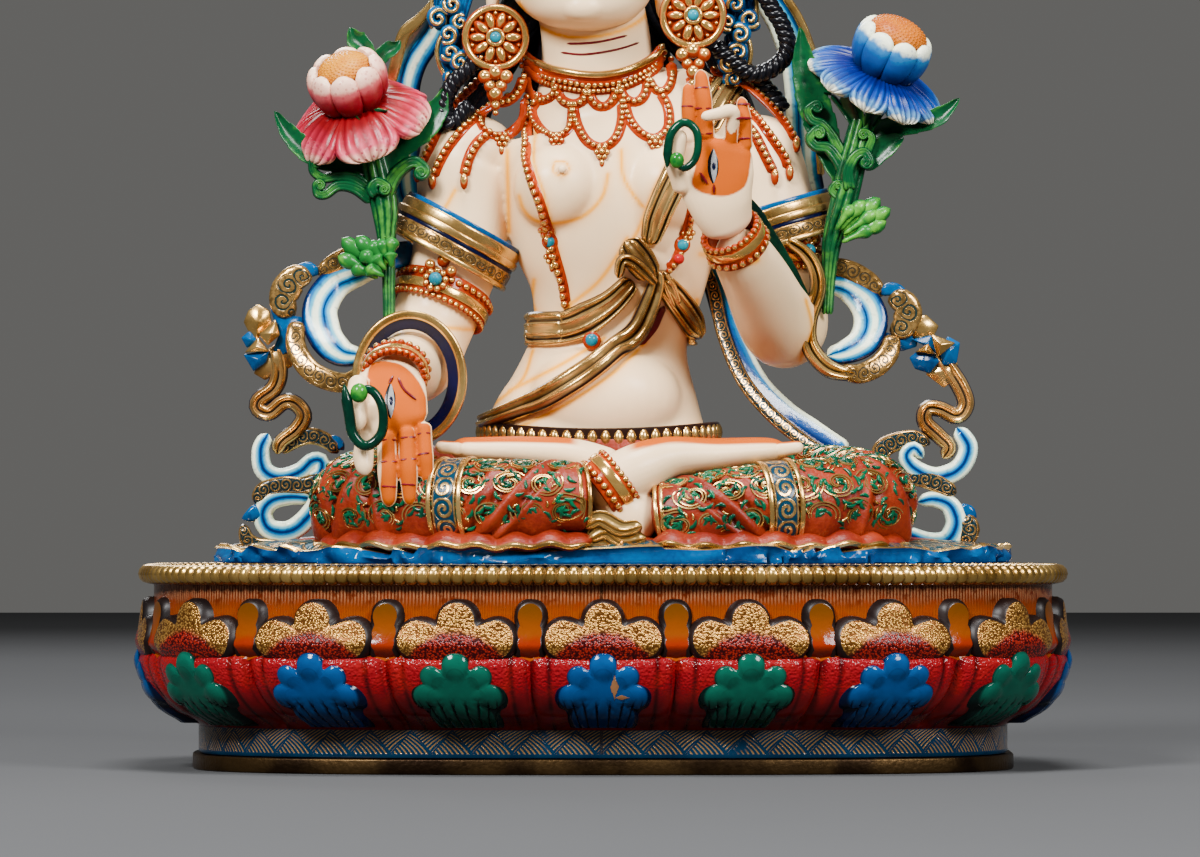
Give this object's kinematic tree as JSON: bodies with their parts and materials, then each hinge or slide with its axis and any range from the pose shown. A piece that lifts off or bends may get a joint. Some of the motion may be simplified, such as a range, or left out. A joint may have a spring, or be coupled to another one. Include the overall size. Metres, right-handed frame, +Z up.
{
  "type": "seated tara figure",
  "caption": "Painted cast metal Tara seated on a lotus pedestal, one hand lowered and one raised, with a lotus at each shoulder and looped scarves beside the arms.",
  "frame": {"origin": "centre of the base plate's underside, on the surface that it stands on", "axes": "+Z up, -Y is where the figure faces, +X to the right as a viewer in front sees it"},
  "size_m": [0.2798, 0.1748, 0.3309],
  "materials": {
    "base_brass": "dull, worn and slightly uneven",
    "pedestal_paint": "crimson, orange, green and blue paint with gilded beads and lobes, satin",
    "figure_paint": "cream white skin, orange and gold jewellery, red robe with gilded vines, satin",
    "scarf_paint": "blue and white stripes with gilded engraved trims, satin",
    "foliage_paint": "green leaves, pink and blue petals with white tips, satin"
  },
  "bodies": {
    "root": {"base_plate": "base_brass", "lotus_pedestal": "pedestal_paint", "tara_figure": "figure_paint", "right_scarf": "scarf_paint", "left_scarf": "scarf_paint", "side_ribbon": "scarf_paint", "pink_lotus": "foliage_paint", "blue_lotus": "foliage_paint"}
  },
  "joints": []
}
